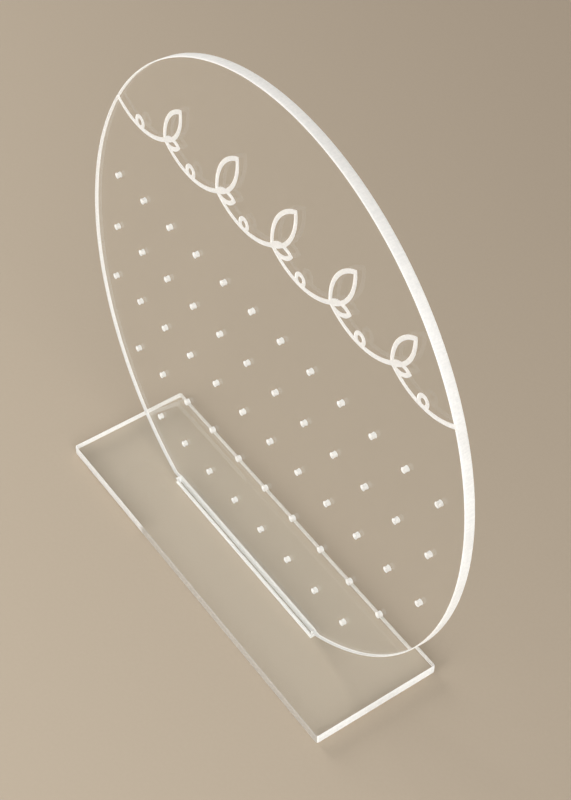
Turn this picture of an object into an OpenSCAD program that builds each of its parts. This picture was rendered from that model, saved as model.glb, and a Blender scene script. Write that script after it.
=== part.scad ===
// Earring display stand: a round clear plate full of stud holes, which stands in
// a slot in a flat clear base. Both pieces are cut from the same sheet.
// Millimetres. The base lies on z = 0 with its centre over the origin, X runs
// along its long side, and the plate faces -Y.

/* [Sheet] */
// Thickness of the sheet that both pieces are cut from
sheet_t = 3; // [2:0.5:5]

/* [Display plate] */
// Diameter of the round plate
plate_d = 160; // [130:1:200]
// Width of the straight cut across the plate's foot
foot_w = 70; // [50:1:90]
// How far the foot stands out past each end of the tab
shoulder_w = 2; // [1:0.5:6]
// Lean of the plate to the back, in degrees
lean = 5; // [0:0.5:8]

/* [Stud holes] */
// Diameter of a hole
hole_d = 1.5; // [1.2:0.1:3]
// Distance between the holes of a row
hole_pitch = 12.5; // [8:0.5:20]
// Height of the first row above the plate's centre
first_row_up = 13.5; // [0:0.5:20]
// Number of rows
hole_rows = 5; // [1:1:5]
// Distance between the rows, but for the last one
row_gap = 17.8; // [10:0.1:19]
// Distance from the last row to the row above it
last_row_gap = 16.6; // [10:0.1:19]
// Least distance from a hole's centre to the plate's edge
hole_margin = 6; // [4:0.5:10]

/* [Engraving] */
// Width of the engraved line
line_w = 1.2; // [0.6:0.1:2]
// Depth of the engraved line
line_depth = 0.3; // [0.1:0.1:0.8]
// Height of the garland's crests above the plate's centre
garland_up = 40; // [32:1:48]
// How far the garland hangs down between two crests
garland_sag = 3.6; // [1:0.2:5]
// Distance between the crests
crest_gap = 23.4; // [18:0.2:30]
// Length of the large leaf in the middle
leaf_l = 17; // [10:1:20]

/* [Base plate] */
// Length of the base
base_w = 121; // [100:1:180]
// Depth of the base, front to back
base_d = 39; // [30:1:60]
// Radius of the base's corners
base_corner_r = 0.8; // [0.2:0.1:5]
// Play on each side of the tab in its slot
slot_play = 0.05; // [0.02:0.01:0.3]

/* [Output] */
// Piece to show

/* [Hidden] */

plate_r = plate_d / 2;
// Height of the plate's centre above its foot
centre_up = sqrt(plate_r * plate_r - foot_w * foot_w / 4);
tab_w = foot_w - 2 * shoulder_w;
tab_l = sheet_t;

// The leaning tab touches neither long wall of its slot, and the foot's back
// edge rests on the base
slot_w = tab_w + 2 * slot_play;
slot_d = sheet_t * cos(lean) + tab_l * sin(lean) + 2 * slot_play;
foot_y = tab_l * sin(lean) / 2;
foot_z = sheet_t + sheet_t * sin(lean) / 2;

// A row holds as many holes as fit between the edges
function half_width(up) = sqrt(plate_r * plate_r - up * up);
function holes_a_side(up) = floor((half_width(up) - hole_margin) / hole_pitch + 0.5);
function row_up(row) =
    first_row_up - row_gap * min(row, hole_rows - 2) - (row == hole_rows - 1 ? last_row_gap : 0);

// The garland's arcs hang from crest to crest, and the outer ones end at the rim
garland_half = half_width(garland_up);
garland_arcs = ceil(garland_half / crest_gap);
garland_arc_r = (crest_gap * crest_gap / 4 + garland_sag * garland_sag) / (2 * garland_sag);
// A crest carries leaves if it lies this many leaf lengths inside the rim
leaf_room = 0.6;
leaf_pairs_a_side = floor((garland_half - leaf_l * leaf_room) / crest_gap);
large_leaf_angle = 64;
small_leaf_angle = 14;
small_leaf_share = 0.45;
large_leaf_slimness = 0.36;
small_leaf_slimness = 0.42;
berry_r = 1.5;
// The leaves grow shorter from the middle, and one at the rim would lose this share
leaf_fall = 0.42;
function leaf_length(x) = leaf_l * (1 - leaf_fall * pow(x / garland_half, 2));

// Enough cuts to read as round, and true circles in the exact solids
$fn = 96;
// A cut runs this far past the faces that it opens
over = 1;

plate_colour = [0.93, 0.95, 0.95, 0.35];
base_colour = [0.90, 0.93, 0.93, 0.35];

// A ring of the line's width around a circle
module ring(r) {
    difference() {
        circle(r = r + line_w / 2);
        circle(r = r - line_w / 2);
    }
}

// The space inside two arcs that meet in two points, l apart, w at its widest,
// made wider all round by grow
module lens(l, w, grow) {
    r = (l * l + w * w) / (4 * w);
    intersection_for (side = [-1, 1])
        translate([l / 2, side * (r - w / 2)])
            circle(r = r + grow);
}

// The line around a leaf that starts at the origin and points along X
module leaf_outline(l, slimness) {
    difference() {
        lens(l, l * slimness, line_w / 2);
        lens(l, l * slimness, -line_w / 2);
    }
}

// A garland from edge to edge, with two leaves at each crest and a berry between
module garland() {
    for (i = [-garland_arcs:garland_arcs - 1])
        translate([(i + 0.5) * crest_gap, 0])
            garland_arc();
    for (i = [-leaf_pairs_a_side:leaf_pairs_a_side])
        translate([i * crest_gap, 0])
            leaf_pair(leaf_length(i * crest_gap));
}

// One hanging arc with the berry that sits in it
module garland_arc() {
    intersection() {
        translate([0, garland_arc_r - garland_sag])
            ring(garland_arc_r);
        translate([-crest_gap / 2, -2 * garland_sag])
            square([crest_gap, 3 * garland_sag]);
    }
    translate([0, berry_r - garland_sag])
        ring(berry_r);
}

module leaf_pair(l) {
    rotate(large_leaf_angle)
        leaf_outline(l, large_leaf_slimness);
    rotate(small_leaf_angle)
        leaf_outline(l * small_leaf_share, small_leaf_slimness);
}

// The round sheet with its straight foot, and the tab below it
module plate_outline() {
    intersection() {
        translate([0, centre_up])
            circle(r = plate_r, $fn = 240);
        translate([-plate_r, 0])
            square([plate_d, plate_d]);
    }
    translate([-tab_w / 2, -tab_l])
        square([tab_w, tab_l + over]);
}

module stud_holes() {
    for (row = [0:hole_rows - 1])
        for (side = [-1, 1])
            for (i = [1:1:holes_a_side(row_up(row))])
                translate([side * (i - 0.5) * hole_pitch, centre_up + row_up(row)])
                    circle(d = hole_d, $fn = 32);
}

module display_plate() {
    color(plate_colour)
        translate([0, foot_y, foot_z])
            rotate([90 - lean, 0, 0])
                translate([0, 0, -sheet_t / 2])
                    difference() {
                        linear_extrude(sheet_t)
                            difference() {
                                plate_outline();
                                stud_holes();
                            }
                        translate([0, centre_up + garland_up, sheet_t - line_depth])
                            linear_extrude(line_depth + over)
                                garland();
                    }
}

module rounded_rectangle(w, d, r) {
    square([w - 2 * r, d], center = true);
    square([w, d - 2 * r], center = true);
    for (x = [-1, 1], y = [-1, 1])
        translate([x * (w / 2 - r), y * (d / 2 - r)])
            circle(r = r);
}

module base_plate() {
    color(base_colour)
        linear_extrude(sheet_t)
            difference() {
                rounded_rectangle(base_w, base_d, base_corner_r);
                square([slot_w, slot_d], center = true);
            }
}

display_plate();
base_plate();
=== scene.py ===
import math

import bmesh
import bpy
from mathutils import Matrix, Vector
from mathutils.geometry import delaunay_2d_cdt


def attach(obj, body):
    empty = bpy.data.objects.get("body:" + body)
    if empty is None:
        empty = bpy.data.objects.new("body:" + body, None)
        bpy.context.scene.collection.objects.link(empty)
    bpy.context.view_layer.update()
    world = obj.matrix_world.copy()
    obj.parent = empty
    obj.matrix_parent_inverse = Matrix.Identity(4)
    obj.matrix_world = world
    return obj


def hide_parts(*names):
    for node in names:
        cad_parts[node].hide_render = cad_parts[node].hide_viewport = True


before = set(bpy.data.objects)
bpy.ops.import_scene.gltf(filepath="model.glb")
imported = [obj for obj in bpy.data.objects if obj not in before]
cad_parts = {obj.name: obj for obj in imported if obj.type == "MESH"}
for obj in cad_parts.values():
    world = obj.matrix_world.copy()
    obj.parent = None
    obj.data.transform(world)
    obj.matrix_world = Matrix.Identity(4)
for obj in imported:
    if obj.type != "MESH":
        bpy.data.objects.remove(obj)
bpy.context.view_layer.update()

# A round clear plate full of stud holes, which stands in a slot in a flat clear base.
# Sizes in metres, the same as in the part's source
MM = 0.001
SHEET_T = 3 * MM
PLATE_R = 80 * MM
FOOT_W = 70 * MM
SHOULDER_W = 2 * MM
LEAN = math.radians(5)
CENTRE_UP = math.sqrt(PLATE_R ** 2 - FOOT_W ** 2 / 4)
TAB_W = FOOT_W - 2 * SHOULDER_W
TAB_L = SHEET_T

HOLE_R = 0.75 * MM
HOLE_PITCH = 12.5 * MM
HOLE_MARGIN = 6 * MM
HOLE_ROWS = 5
FIRST_ROW_UP = 13.5 * MM
ROW_GAP = 17.8 * MM
LAST_ROW_GAP = 16.6 * MM

LINE_W = 1.2 * MM
LINE_DEPTH = 0.3 * MM
GARLAND_UP = 40 * MM
GARLAND_SAG = 3.6 * MM
CREST_GAP = 23.4 * MM
BERRY_R = 1.5 * MM
LEAF_L = 17 * MM
# A crest carries leaves if it lies this many leaf lengths inside the rim
LEAF_ROOM = 0.6
# The leaves grow shorter from the middle, and one at the rim would lose this share
LEAF_FALL = 0.42
# A leaf's angle, its share of the full length, and its width as a share of its length
LARGE_LEAF = (math.radians(64), 1.0, 0.36)
SMALL_LEAF = (math.radians(14), 0.45, 0.42)

BASE_W = 121 * MM
BASE_D = 39 * MM
BASE_CORNER_R = 0.8 * MM
SLOT_PLAY = 0.05 * MM
SLOT_W = TAB_W + 2 * SLOT_PLAY
SLOT_D = SHEET_T * math.cos(LEAN) + TAB_L * math.sin(LEAN) + 2 * SLOT_PLAY

# The cutter's heat rounds each corner by this radius, drawn in this many steps
CORNER_R = 0.3 * MM
CORNER_STEPS = 3
# A small hole's mouth opens by this share of that radius only
MOUTH_SHARE = 0.35
# A cutting solid runs this far out of the face that it opens
OVER = 1 * MM

# Straight steps that the curves are drawn in
RIM_STEPS = 400
HOLE_STEPS = 36
BASE_CORNER_STEPS = 10
BERRY_STEPS = 48
GARLAND_ARC_STEPS = 40
LEAF_STEPS = 24
# Walls that meet at less than this angle shade as one curve
SMOOTH_ANGLE = math.radians(40)

# Material slots. Both sheets have the first three, and each has a fourth of its own
FACE = 0
WALL = 1
CORNER = 2
ENGRAVED = 3
LONG_SIDE = 3

# How strongly clear acrylic bends light, and the tint of one face for what is seen through it
# and for the lamplight that passes it
ACRYLIC_IOR = 1.49
FACE_TINT = (0.994, 0.997, 0.995, 1)
FACE_LAMP_TINT = (0.972, 0.977, 0.974, 1)
# Smudges make a polished face a little dull, where the noise lies above the first value
SMUDGE_SCALE = 28.0
SMUDGE_FROM = 0.45
SMUDGE_FULL = 0.75
SMUDGE_ROUGHNESS = 0.07
# Frost has spots and finer lines of these scales, and the lines have this share of its pattern
FROST_SPOT_SCALE = 1500.0
FROST_LINE_SCALE = 2600.0
FROST_LINE_SHARE = 0.4
# The pattern gives the low tone at the first value and the high one at the second, and relief
FROST_LOW = 0.35
FROST_HIGH = 0.62
RELIEF_DEPTH = 0.03 * MM
RELIEF_STRENGTH = 0.35
# The share of frost that is lit from behind, and how the sheet looks where it shows below it
LIT_THROUGH = 0.4
BELOW_TINT = (0.98, 0.985, 0.985, 1)
BELOW_ROUGHNESS = 0.35
# The front side is painted white up to here, a painted glow in place of light piped along inside
# the base that the slot stops, and is clearer from here to the right. The change reaches this far
# to either side
PAINTED_GLOW_END = -24 * MM
PAINTED_GLOW_BLEND = 1.5 * MM
CLEAR_SIDE_TINT = (0.97, 0.97, 0.965, 1)

# The floor is painted a little lighter in front than behind, a painted falloff of light, and
# from the first to the second of these distances it fades into a backdrop that looks the same as
# the lit floor
FLOOR_BEHIND = (0.305, 0.25, 0.19)
FLOOR_IN_FRONT = (0.475, 0.4, 0.31)
BACKDROP_BEHIND = (0.335, 0.275, 0.21)
BACKDROP_IN_FRONT = (0.62, 0.525, 0.41)
TO_FRONT = (-0.2, -0.98, 0)
FADE_START = 0.3
FADE_END = 0.85
# The tone changes over this distance on the floor to either side of the object
TONE_REACH = 0.3
# In the backdrop it changes between directions that point this far to the back and the front
BACKDROP_TONE_REACH = 0.8
FLOOR_R = 6
# The floor lies this far below the base, so that the two don't share a plane
FLOOR_DROP = 0.1 * MM
FLOOR_GRAIN_SCALE = 1100.0
FLOOR_GRAIN = 0.1
# A paler ceiling shows in the top faces, from the first to the second height of a direction
CEILING = (1.0, 0.93, 0.82)
CEILING_FROM = 0.35
CEILING_TO = 0.75

# Lamps: a name, a place, the length of a side, and the power in watts
LAMPS = (
    ("window", (1.60, -0.60, 1.25), 1.9, 37),
    ("front", (0.10, -2.00, 0.95), 1.2, 28),
    ("left", (-1.90, -0.10, 0.55), 1.0, 31),
)
LAMP_TARGET = (0, 0, 0.06)
# The room's own light grows from the far side to the window, between directions that point
# this far away from the window and to it
ROOM_COLOUR = (1, 0.99, 0.975)
ROOM_FAR_SIDE = 0.2
ROOM_WINDOW_SIDE = 0.47
TO_WINDOW = (0.60, -0.35, 0.72)
ROOM_REACH = 0.9

# The photograph's viewpoint, found from the rows of holes and the rim
CAMERA_PLACE = (0.26847, -0.17960, 0.42161)
CAMERA_TARGET = (0.0130, 0.0035, 0.0750)
CAMERA_ROLL = math.radians(0.59)
# Focal length and sensor height in millimetres
LENS = 85.02
SENSOR_H = 36


def arc(centre, r, start, end, steps):
    """Points on an arc from one angle to another, both included."""
    return [
        (
            centre[0] + r * math.cos(start + (end - start) * i / steps),
            centre[1] + r * math.sin(start + (end - start) * i / steps),
        )
        for i in range(steps + 1)
    ]


def circle(centre, r, steps):
    return arc(centre, r, 0, 2 * math.pi, steps)[:-1]


def half_width(up):
    """Half the plate's width at a height above its centre."""
    return math.sqrt(PLATE_R ** 2 - up ** 2)


def plate_outline(inset):
    """The round sheet with its straight foot and the tab below, made smaller all round by inset."""
    r = PLATE_R - inset
    foot = inset - CENTRE_UP
    start = math.asin(foot / r)
    points = arc((0, CENTRE_UP), r, start, math.pi - start, RIM_STEPS)
    tab = TAB_W / 2 - inset
    points += [(-tab, inset), (-tab, inset - TAB_L), (tab, inset - TAB_L), (tab, inset)]
    return points


def hole_centres():
    """The holes row by row. A row holds as many as fit between the edges."""
    up = FIRST_ROW_UP
    for row in range(HOLE_ROWS):
        if row > 0:
            up -= LAST_ROW_GAP if row == HOLE_ROWS - 1 else ROW_GAP
        a_side = math.floor((half_width(up) - HOLE_MARGIN) / HOLE_PITCH + 0.5)
        for i in range(-a_side, a_side):
            yield ((i + 0.5) * HOLE_PITCH, CENTRE_UP + up)


def plate_loops(inset):
    """The plate's outline made smaller by inset, and its holes made wider by a share of it."""
    hole_r = HOLE_R + MOUTH_SHARE * inset
    holes = [circle(centre, hole_r, HOLE_STEPS) for centre in hole_centres()]
    return [plate_outline(inset)] + holes


def base_loops(inset):
    """The base's outline with round corners, and its slot made wider by inset."""
    r = BASE_CORNER_R - inset
    x = BASE_W / 2 - BASE_CORNER_R
    y = BASE_D / 2 - BASE_CORNER_R
    outline = []
    for quarter, centre in enumerate([(x, y), (-x, y), (-x, -y), (x, -y)]):
        start = quarter * math.pi / 2
        outline += arc(centre, r, start, start + math.pi / 2, BASE_CORNER_STEPS)
    slot_x = SLOT_W / 2 + inset
    slot_y = SLOT_D / 2 + inset
    slot = [(-slot_x, -slot_y), (slot_x, -slot_y), (slot_x, slot_y), (-slot_x, slot_y)]
    return [outline, slot]


def fill(bm, rings, material):
    """Fills the face between the first ring and the rings inside it."""
    verts = [v for ring in rings for v in ring]
    flat = [Vector((v.co.x, v.co.y)) for v in verts]
    loops = []
    first = 0
    for ring in rings:
        loops.append(list(range(first, first + len(ring))))
        first += len(ring)
    inside_only = 1
    same_point = 1e-9
    _, _, tris, sources, _, within = delaunay_2d_cdt(flat, [], loops, inside_only, same_point)
    for tri, loops_around in zip(tris, within):
        if loops_around == [0]:
            bm.faces.new([verts[sources[i][0]] for i in tri]).material_index = material


def solid(bm, loops, levels, face_material):
    """A solid through the same loops at several heights.

    Each level is a height, an inset and the material of the wall up to the next level.
    """
    stack = []
    for z, inset, _ in levels:
        stack.append([[bm.verts.new((x, y, z)) for x, y in loop] for loop in loops(inset)])
    for lower, upper, (_, _, material) in zip(stack, stack[1:], levels):
        for low, high in zip(lower, upper):
            for i in range(len(low)):
                j = (i + 1) % len(low)
                bm.faces.new((low[i], low[j], high[j], high[i])).material_index = material
    fill(bm, stack[0], face_material)
    fill(bm, stack[-1], face_material)
    bmesh.ops.recalc_face_normals(bm, faces=bm.faces[:])


def sheet_levels():
    """The levels of a cut sheet whose corners are rounded."""
    turns = [math.pi / 2 * i / CORNER_STEPS for i in range(CORNER_STEPS + 1)]
    rounding = [(CORNER_R * (1 - math.cos(a)), CORNER_R * (1 - math.sin(a))) for a in turns]
    lower = [(z, inset, CORNER) for z, inset in rounding]
    upper = [(SHEET_T - z, inset, CORNER) for z, inset in reversed(rounding)]
    z, inset, _ = lower.pop()
    return lower + [(z, inset, WALL)] + upper


def piece_from(name, bm, materials):
    """Turns the mesh that was built into an object with these material slots."""
    mesh = bpy.data.meshes.new(name)
    bm.to_mesh(mesh)
    bm.free()
    for material in materials:
        mesh.materials.append(material)
    piece = bpy.data.objects.new(name, mesh)
    bpy.context.scene.collection.objects.link(piece)
    return piece


def berry_loops(centre):
    """The line around a berry."""
    return [circle(centre, BERRY_R + side * LINE_W / 2, BERRY_STEPS) for side in (1, -1)]


def leaf_loop(base, angle, length, width, grow):
    """The space inside two arcs that meet in two points, made wider all round by grow."""
    r = (length ** 2 + width ** 2) / (4 * width)
    drop = r - width / 2
    half = math.acos(drop / (r + grow))
    points = []
    for side in (1, -1):
        middle = side * math.pi / 2
        centre = (length / 2, -side * drop)
        points += arc(centre, r + grow, middle - half, middle + half, LEAF_STEPS)[:-1]
    turn = Matrix.Rotation(angle, 2)
    return [tuple(Vector(base) + turn @ Vector(p)) for p in points]


def garland_shapes():
    """The loops of each arc, berry and leaf of the garland, with the plate's foot at y = 0."""
    crest = CENTRE_UP + GARLAND_UP
    half = half_width(GARLAND_UP)
    arc_r = (CREST_GAP ** 2 / 4 + GARLAND_SAG ** 2) / (2 * GARLAND_SAG)
    spread = math.asin(CREST_GAP / 2 / arc_r)
    reach = (-math.pi / 2 - spread, -math.pi / 2 + spread)
    arcs_a_side = math.ceil(half / CREST_GAP)
    for i in range(-arcs_a_side, arcs_a_side):
        x = (i + 0.5) * CREST_GAP
        centre = (x, crest + arc_r - GARLAND_SAG)
        outer = arc(centre, arc_r + LINE_W / 2, *reach, GARLAND_ARC_STEPS)
        inner = arc(centre, arc_r - LINE_W / 2, *reach, GARLAND_ARC_STEPS)
        yield [outer + inner[::-1]]
        yield berry_loops((x, crest + BERRY_R - GARLAND_SAG))
    pairs_a_side = math.floor((half - LEAF_L * LEAF_ROOM) / CREST_GAP)
    for i in range(-pairs_a_side, pairs_a_side + 1):
        x = i * CREST_GAP
        length = LEAF_L * (1 - LEAF_FALL * (x / half) ** 2)
        for angle, share, slimness in (LARGE_LEAF, SMALL_LEAF):
            size = (length * share, length * share * slimness)
            yield [leaf_loop((x, crest), angle, *size, side * LINE_W / 2) for side in (1, -1)]


def engrave(piece):
    """Cuts the garland into the plate's front face."""
    levels = [(SHEET_T - LINE_DEPTH, 0, ENGRAVED), (SHEET_T + OVER, 0, ENGRAVED)]
    for shape in garland_shapes():
        bm = bmesh.new()
        solid(bm, lambda inset: shape, levels, ENGRAVED)
        cutter = piece_from("cutter", bm, piece.data.materials)
        cut = piece.modifiers.new("engrave", "BOOLEAN")
        cut.operation = "DIFFERENCE"
        cut.solver = "MANIFOLD"
        cut.object = cutter
        with bpy.context.temp_override(object=piece, active_object=piece):
            bpy.ops.object.modifier_apply(modifier=cut.name)
        bpy.data.objects.remove(cutter)


def smooth_walls(piece):
    """Walls and corners shade as one curve, and the faces stay flat."""
    piece.data.shade_smooth()
    piece.data.set_sharp_from_angle(angle=SMOOTH_ANGLE)
    for face in piece.data.polygons:
        face.use_smooth = face.material_index != FACE


class Nodes:
    """Short calls to build a node tree."""

    def __init__(self, tree):
        self.tree = tree
        tree.nodes.clear()

    def feed(self, socket, value):
        """Links a socket to another node's output, or sets it to a plain value."""
        if isinstance(value, bpy.types.NodeSocket):
            self.tree.links.new(value, socket)
        else:
            socket.default_value = value

    def add(self, kind, **inputs):
        """A new node. An input's name has underscores for its spaces."""
        node = self.tree.nodes.new(kind)
        for name, value in inputs.items():
            self.feed(node.inputs[name.replace("_", " ")], value)
        return node

    def operate(self, kind, operation, values):
        node = self.tree.nodes.new(kind)
        node.operation = operation
        for socket, value in zip(node.inputs, values):
            self.feed(socket, value)
        return node

    def math(self, operation, *values):
        return self.operate("ShaderNodeMath", operation, values).outputs[0]

    def vector_math(self, operation, *values):
        """The outcome is a number for a dot product or a length, and otherwise a vector."""
        outcome = "Value" if operation in ("DOT_PRODUCT", "LENGTH") else "Vector"
        return self.operate("ShaderNodeVectorMath", operation, values).outputs[outcome]

    def object_place(self):
        return self.add("ShaderNodeTexCoord").outputs["Object"]

    def smooth_step(self, value, start, end):
        node = self.add("ShaderNodeMapRange", Value=value, From_Min=start, From_Max=end)
        node.interpolation_type = "SMOOTHSTEP"
        return node.outputs[0]

    def noise(self, place, scale, detail):
        node = self.add("ShaderNodeTexNoise", Vector=place, Scale=scale, Detail=detail)
        return node.outputs["Fac"]

    def ramp(self, value, low, high):
        """Goes from one colour to another. Each end is a value and its colour."""
        node = self.add("ShaderNodeValToRGB", Fac=value)
        for element, (position, colour) in zip(node.color_ramp.elements, (low, high)):
            element.position = position
            element.color = (*colour, 1)
        return node.outputs["Color"]

    def mix_colours(self, share, first, second):
        node = self.tree.nodes.new("ShaderNodeMix")
        node.data_type = "RGBA"
        self.feed(node.inputs["Factor"], share)
        # The sockets for colours come after those for numbers and vectors
        self.feed(node.inputs[6], first)
        self.feed(node.inputs[7], second)
        return node.outputs[2]

    def mix_shaders(self, share, first, second):
        node = self.tree.nodes.new("ShaderNodeMixShader")
        for socket, value in zip(node.inputs, (share, first, second)):
            self.feed(socket, value)
        return node.outputs[0]

    def backdrop_tone(self, direction):
        to_front = self.vector_math("DOT_PRODUCT", direction, TO_FRONT)
        share = self.smooth_step(to_front, -BACKDROP_TONE_REACH, BACKDROP_TONE_REACH)
        around = self.ramp(share, (0, BACKDROP_BEHIND), (1, BACKDROP_IN_FRONT))
        height = self.add("ShaderNodeSeparateXYZ", Vector=direction).outputs["Z"]
        above = self.smooth_step(height, CEILING_FROM, CEILING_TO)
        return self.mix_colours(above, around, (*CEILING, 1))

    def seen_directly(self):
        """One for what the eye sees, also through glass and in a mirror, and zero for light."""
        path = self.add("ShaderNodeLightPath")
        eye = self.math("MAXIMUM", path.outputs["Is Camera Ray"], path.outputs["Is Glossy Ray"])
        return self.math("MAXIMUM", eye, path.outputs["Is Transmission Ray"])


def new_material(name):
    material = bpy.data.materials.new(name)
    material.use_nodes = True
    return material, Nodes(material.node_tree)


def clear_face_material():
    """The polished face of a clear sheet. Lamps and scattered light pass it unbent."""
    material, n = new_material("clear_face")
    smudges = n.noise(n.object_place(), SMUDGE_SCALE, detail=5)
    dullest = (SMUDGE_ROUGHNESS,) * 3
    roughness = n.ramp(smudges, (SMUDGE_FROM, (0, 0, 0)), (SMUDGE_FULL, dullest))
    glass = n.add(
        "ShaderNodeBsdfPrincipled",
        Base_Color=FACE_TINT,
        Roughness=roughness,
        IOR=ACRYLIC_IOR,
        Transmission_Weight=1,
    )
    open_way = n.add("ShaderNodeBsdfTransparent", Color=FACE_LAMP_TINT)
    path = n.add("ShaderNodeLightPath")
    seen = n.mix_shaders(path.outputs["Is Diffuse Ray"], glass.outputs[0], open_way.outputs[0])
    seen = n.mix_shaders(path.outputs["Is Shadow Ray"], seen, open_way.outputs[0])
    n.add("ShaderNodeOutputMaterial", Surface=seen)
    return material


def frosted_material(name, low, high, stretch, whiteness, clear_whiteness=None):
    """A face that the laser has turned white, lit from both of its sides.

    Its pattern goes from the low tone to the high one, in spots with fine lines, which run
    along the axis that stretch makes small. Whiteness is the share that the frost covers.
    A clear_whiteness is for the front side right of its painted glow, where the floor shows in it
    and lamplight passes it. To the left the side keeps the frost as a painted glow of piped light.
    """
    material, n = new_material(name)
    place = n.object_place()
    spots = n.noise(place, FROST_SPOT_SCALE, detail=3)
    lines = n.noise(n.vector_math("MULTIPLY", place, stretch), FROST_LINE_SCALE, detail=2)
    spots_part = n.math("MULTIPLY", spots, 1 - FROST_LINE_SHARE)
    pattern = n.math("MULTIPLY_ADD", lines, FROST_LINE_SHARE, spots_part)
    tone = n.ramp(pattern, (FROST_LOW, low), (FROST_HIGH, high))
    relief = n.add(
        "ShaderNodeBump",
        Height=pattern,
        Strength=RELIEF_STRENGTH,
        Distance=RELIEF_DEPTH,
    ).outputs[0]
    front = n.add("ShaderNodeBsdfDiffuse", Color=tone, Normal=relief)
    through = n.add("ShaderNodeBsdfTranslucent", Color=tone, Normal=relief)
    frost = n.mix_shaders(LIT_THROUGH, front.outputs[0], through.outputs[0])
    below = n.add(
        "ShaderNodeBsdfPrincipled",
        Base_Color=BELOW_TINT,
        Roughness=BELOW_ROUGHNESS,
        IOR=ACRYLIC_IOR,
        Transmission_Weight=1,
        Normal=relief,
    )
    seen = n.mix_shaders(whiteness, below.outputs[0], frost)
    # The front side's white left part is a painted glow of piped light, and its right part is
    # clearer
    if clear_whiteness is not None:
        split = n.add("ShaderNodeSeparateXYZ", Vector=place)
        right = n.smooth_step(split.outputs["X"], PAINTED_GLOW_END - PAINTED_GLOW_BLEND, PAINTED_GLOW_END + PAINTED_GLOW_BLEND)
        front_right = n.math("MULTIPLY", right, n.math("LESS_THAN", split.outputs["Y"], 0.0))
        open_way = n.add("ShaderNodeBsdfTransparent", Color=CLEAR_SIDE_TINT)
        open_share = n.math("MULTIPLY", front_right, 1 - clear_whiteness)
        seen = n.mix_shaders(open_share, seen, open_way.outputs[0])
    n.add("ShaderNodeOutputMaterial", Surface=seen)
    return material


def make_plate(materials):
    """The round plate, built lying flat with its foot at y = 0, and stood up in the slot."""
    bm = bmesh.new()
    solid(bm, plate_loops, sheet_levels(), FACE)
    # The walls of the holes are frosted like the engraving, whose whiter tone there is painted light
    # that makes up for the little light reaching inside them
    for face in bm.faces:
        x, y, _ = face.calc_center_median()
        inside = math.hypot(x, y - CENTRE_UP) < PLATE_R - SHEET_T and y > SHEET_T
        if face.material_index == WALL and inside:
            face.material_index = ENGRAVED
    plate = piece_from("round_plate", bm, materials)
    engrave(plate)
    smooth_walls(plate)
    foot = Vector((0, TAB_L * math.sin(LEAN) / 2, SHEET_T + SHEET_T * math.sin(LEAN) / 2))
    stand_up = Matrix.Rotation(math.pi / 2 - LEAN, 4, "X")
    middle = Matrix.Translation((0, 0, -SHEET_T / 2))
    plate.matrix_world = Matrix.Translation(foot) @ stand_up @ middle
    return plate


def make_base(materials):
    """The base with its slot. Its long sides have a material of their own."""
    bm = bmesh.new()
    solid(bm, base_loops, sheet_levels(), FACE)
    for face in bm.faces:
        outside = abs(face.calc_center_median().y) > SLOT_D
        if face.material_index != FACE and outside and abs(face.normal.y) > abs(face.normal.x):
            face.material_index = LONG_SIDE
    base = piece_from("slotted_base", bm, materials)
    smooth_walls(base)
    return base


def make_floor():
    """A pale floor with a painted falloff of light, lighter in front, that fades into the backdrop.
    """
    bm = bmesh.new()
    bmesh.ops.create_circle(bm, cap_ends=True, segments=96, radius=FLOOR_R)
    material, n = new_material("floor")
    place = n.object_place()
    # Painted falloff of light: the floor is lighter in front than behind, with grain on top
    painted_falloff = n.smooth_step(n.vector_math("DOT_PRODUCT", place, TO_FRONT), -TONE_REACH, TONE_REACH)
    grain = n.noise(place, FLOOR_GRAIN_SCALE, detail=3)
    share = n.math("MULTIPLY_ADD", grain, FLOOR_GRAIN, painted_falloff)
    tone = n.ramp(share, (0, FLOOR_BEHIND), (1, FLOOR_IN_FRONT))
    paint = n.add(
        "ShaderNodeBsdfPrincipled",
        Base_Color=tone,
        Roughness=0.9,
        Specular_IOR_Level=0.15,
    )
    far = n.smooth_step(n.vector_math("LENGTH", place), FADE_START, FADE_END)
    direction = n.vector_math("NORMALIZE", place)
    backdrop = n.add("ShaderNodeEmission", Color=n.backdrop_tone(direction), Strength=1.0)
    shown = n.math("MULTIPLY", far, n.seen_directly())
    seen = n.mix_shaders(shown, paint.outputs[0], backdrop.outputs[0])
    n.add("ShaderNodeOutputMaterial", Surface=seen)
    floor = piece_from("floor", bm, [material])
    floor.location.z = -FLOOR_DROP


def softbox(name, place, side, watts):
    """A soft square lamp that isn't mirrored in the flat faces."""
    data = bpy.data.lights.new(name, "AREA")
    data.shape = "SQUARE"
    data.size = side
    data.energy = watts
    lamp = bpy.data.objects.new(name, data)
    lamp.location = place
    facing = Vector(LAMP_TARGET) - Vector(place)
    lamp.rotation_euler = facing.to_track_quat("-Z", "Y").to_euler()
    lamp.visible_glossy = False
    lamp.visible_transmission = False
    bpy.context.scene.collection.objects.link(lamp)


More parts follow.
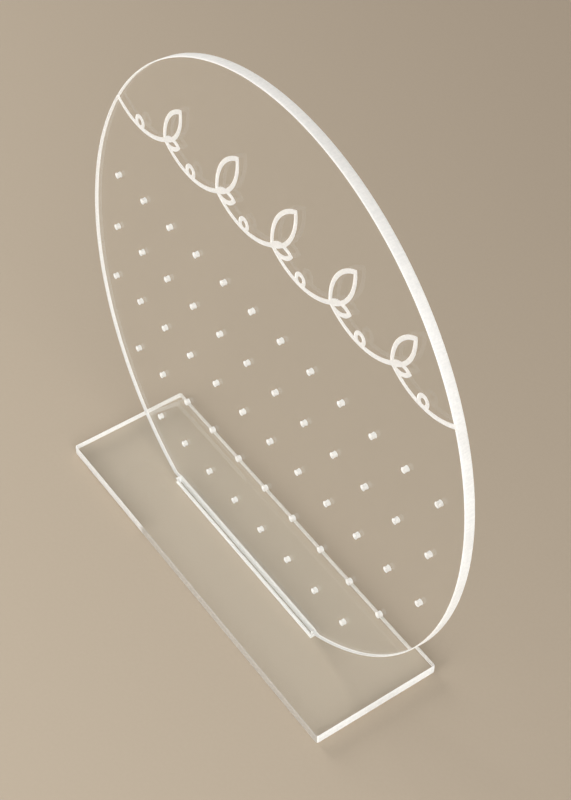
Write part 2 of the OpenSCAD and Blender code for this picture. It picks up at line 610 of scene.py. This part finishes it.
def make_lights():
    """A large window to the right, weak lamps in front and on the left, and a darker room behind."""
    for lamp in LAMPS:
        softbox(*lamp)
    world = bpy.data.worlds.new("soft_room")
    world.use_nodes = True
    bpy.context.scene.world = world
    n = Nodes(world.node_tree)
    direction = n.add("ShaderNodeTexCoord").outputs["Generated"]
    strength = n.add(
        "ShaderNodeMapRange",
        Value=n.vector_math("DOT_PRODUCT", direction, TO_WINDOW),
        From_Min=-ROOM_REACH,
        From_Max=ROOM_REACH,
        To_Min=ROOM_FAR_SIDE,
        To_Max=ROOM_WINDOW_SIDE,
    ).outputs[0]
    room = n.add("ShaderNodeBackground", Color=(*ROOM_COLOUR, 1), Strength=strength)
    backdrop = n.add("ShaderNodeBackground", Color=n.backdrop_tone(direction), Strength=1.0)
    seen = n.mix_shaders(n.seen_directly(), room.outputs[0], backdrop.outputs[0])
    n.add("ShaderNodeOutputWorld", Surface=seen)


def make_camera():
    """The camera at the photograph's viewpoint."""
    data = bpy.data.cameras.new("camera")
    data.sensor_fit = "VERTICAL"
    data.sensor_height = SENSOR_H
    data.lens = LENS
    camera = bpy.data.objects.new("camera", data)
    place = Vector(CAMERA_PLACE)
    facing = (Vector(CAMERA_TARGET) - place).to_track_quat("-Z", "Y").to_matrix().to_4x4()
    roll = Matrix.Rotation(CAMERA_ROLL, 4, "Z")
    camera.matrix_world = Matrix.Translation(place) @ facing @ roll
    bpy.context.scene.collection.objects.link(camera)
    bpy.context.scene.camera = camera


clear_face = clear_face_material()
cut_wall = frosted_material(
    "cut_wall",
    low=(0.87, 0.885, 0.885),
    high=(0.975, 0.98, 0.975),
    stretch=(1, 1, 0.06),
    whiteness=0.93,
)
# The white left end of its front side is a painted glow of light piped inside the base
long_side = frosted_material(
    "long_side",
    low=(0.86, 0.85, 0.83),
    high=(0.96, 0.95, 0.93),
    stretch=(1, 1, 0.06),
    whiteness=0.8,
    clear_whiteness=0.36,
)
# The corners are whiter than the walls: partly the smoother melted finish of the cut, partly a
# painted highlight along the edges
cut_corner = frosted_material(
    "cut_corner",
    low=(0.94, 0.94, 0.93),
    high=(0.985, 0.985, 0.97),
    stretch=(1, 1, 0.3),
    whiteness=0.93,
)
engraving = frosted_material(
    "engraving",
    low=(0.88, 0.88, 0.87),
    high=(0.98, 0.975, 0.96),
    stretch=(0.05, 1, 1),
    whiteness=0.97,
)

plate = make_plate([clear_face, cut_wall, cut_corner, engraving])
base = make_base([clear_face, cut_wall, cut_corner, long_side])
for piece, node in ((plate, "display_plate"), (base, "base_plate")):
    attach(piece, "root")
    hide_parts(node)

make_floor()
make_lights()
make_camera()
bpy.context.scene.view_settings.view_transform = "Standard"
# Light that runs along inside the sheets is followed to its end
bpy.context.scene.cycles.max_bounces = 16
bpy.context.scene.cycles.glossy_bounces = 12
